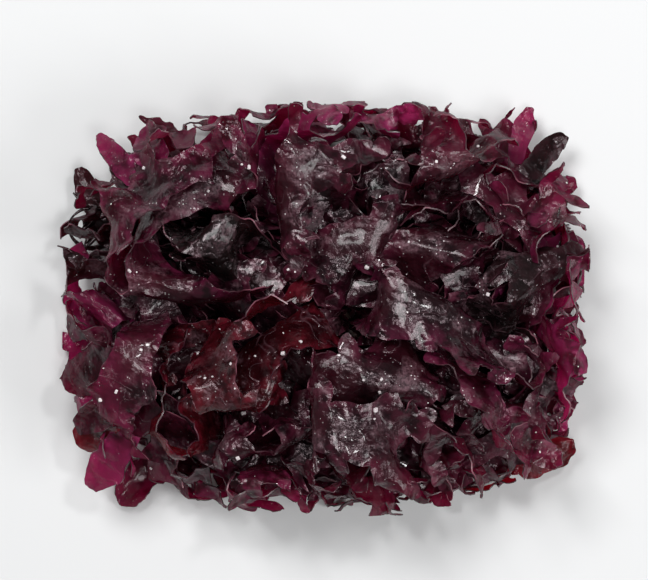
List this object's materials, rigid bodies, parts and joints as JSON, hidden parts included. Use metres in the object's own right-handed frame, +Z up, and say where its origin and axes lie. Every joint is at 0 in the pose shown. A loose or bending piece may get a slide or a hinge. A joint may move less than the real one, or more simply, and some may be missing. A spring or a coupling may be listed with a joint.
{
  "type": "dulse tuft",
  "caption": "Low heaped tuft of dark red dulse seaweed: thin, forked, leathery fronds on short stalks, folded over each other round one small holdfast.",
  "frame": {"origin": "on the ground, under the middle of the heap's box", "axes": "+Z up from the ground, +X along the heap's long side, towards the right of the picture, +Y towards the top of the picture"},
  "size_m": [0.1172, 0.091, 0.044],
  "materials": {
    "frond": "moist translucent algal blade, dark burgundy where it lies in layers and magenta where it is single, glossy in patches, with a few grains of salt",
    "holdfast": "rough dark brown-red holdfast, matte"
  },
  "bodies": {
    "root": {"frond_01": "frond", "frond_02": "frond", "frond_03": "frond", "frond_04": "frond", "frond_05": "frond", "frond_06": "frond", "frond_07": "frond", "frond_08": "frond", "frond_09": "frond", "frond_10": "frond", "frond_11": "frond", "frond_12": "frond", "frond_13": "frond", "frond_14": "frond", "frond_15": "frond", "frond_16": "frond", "frond_17": "frond", "frond_18": "frond", "frond_19": "frond", "frond_20": "frond", "frond_21": "frond", "frond_22": "frond", "holdfast": "holdfast"}
  },
  "joints": []
}
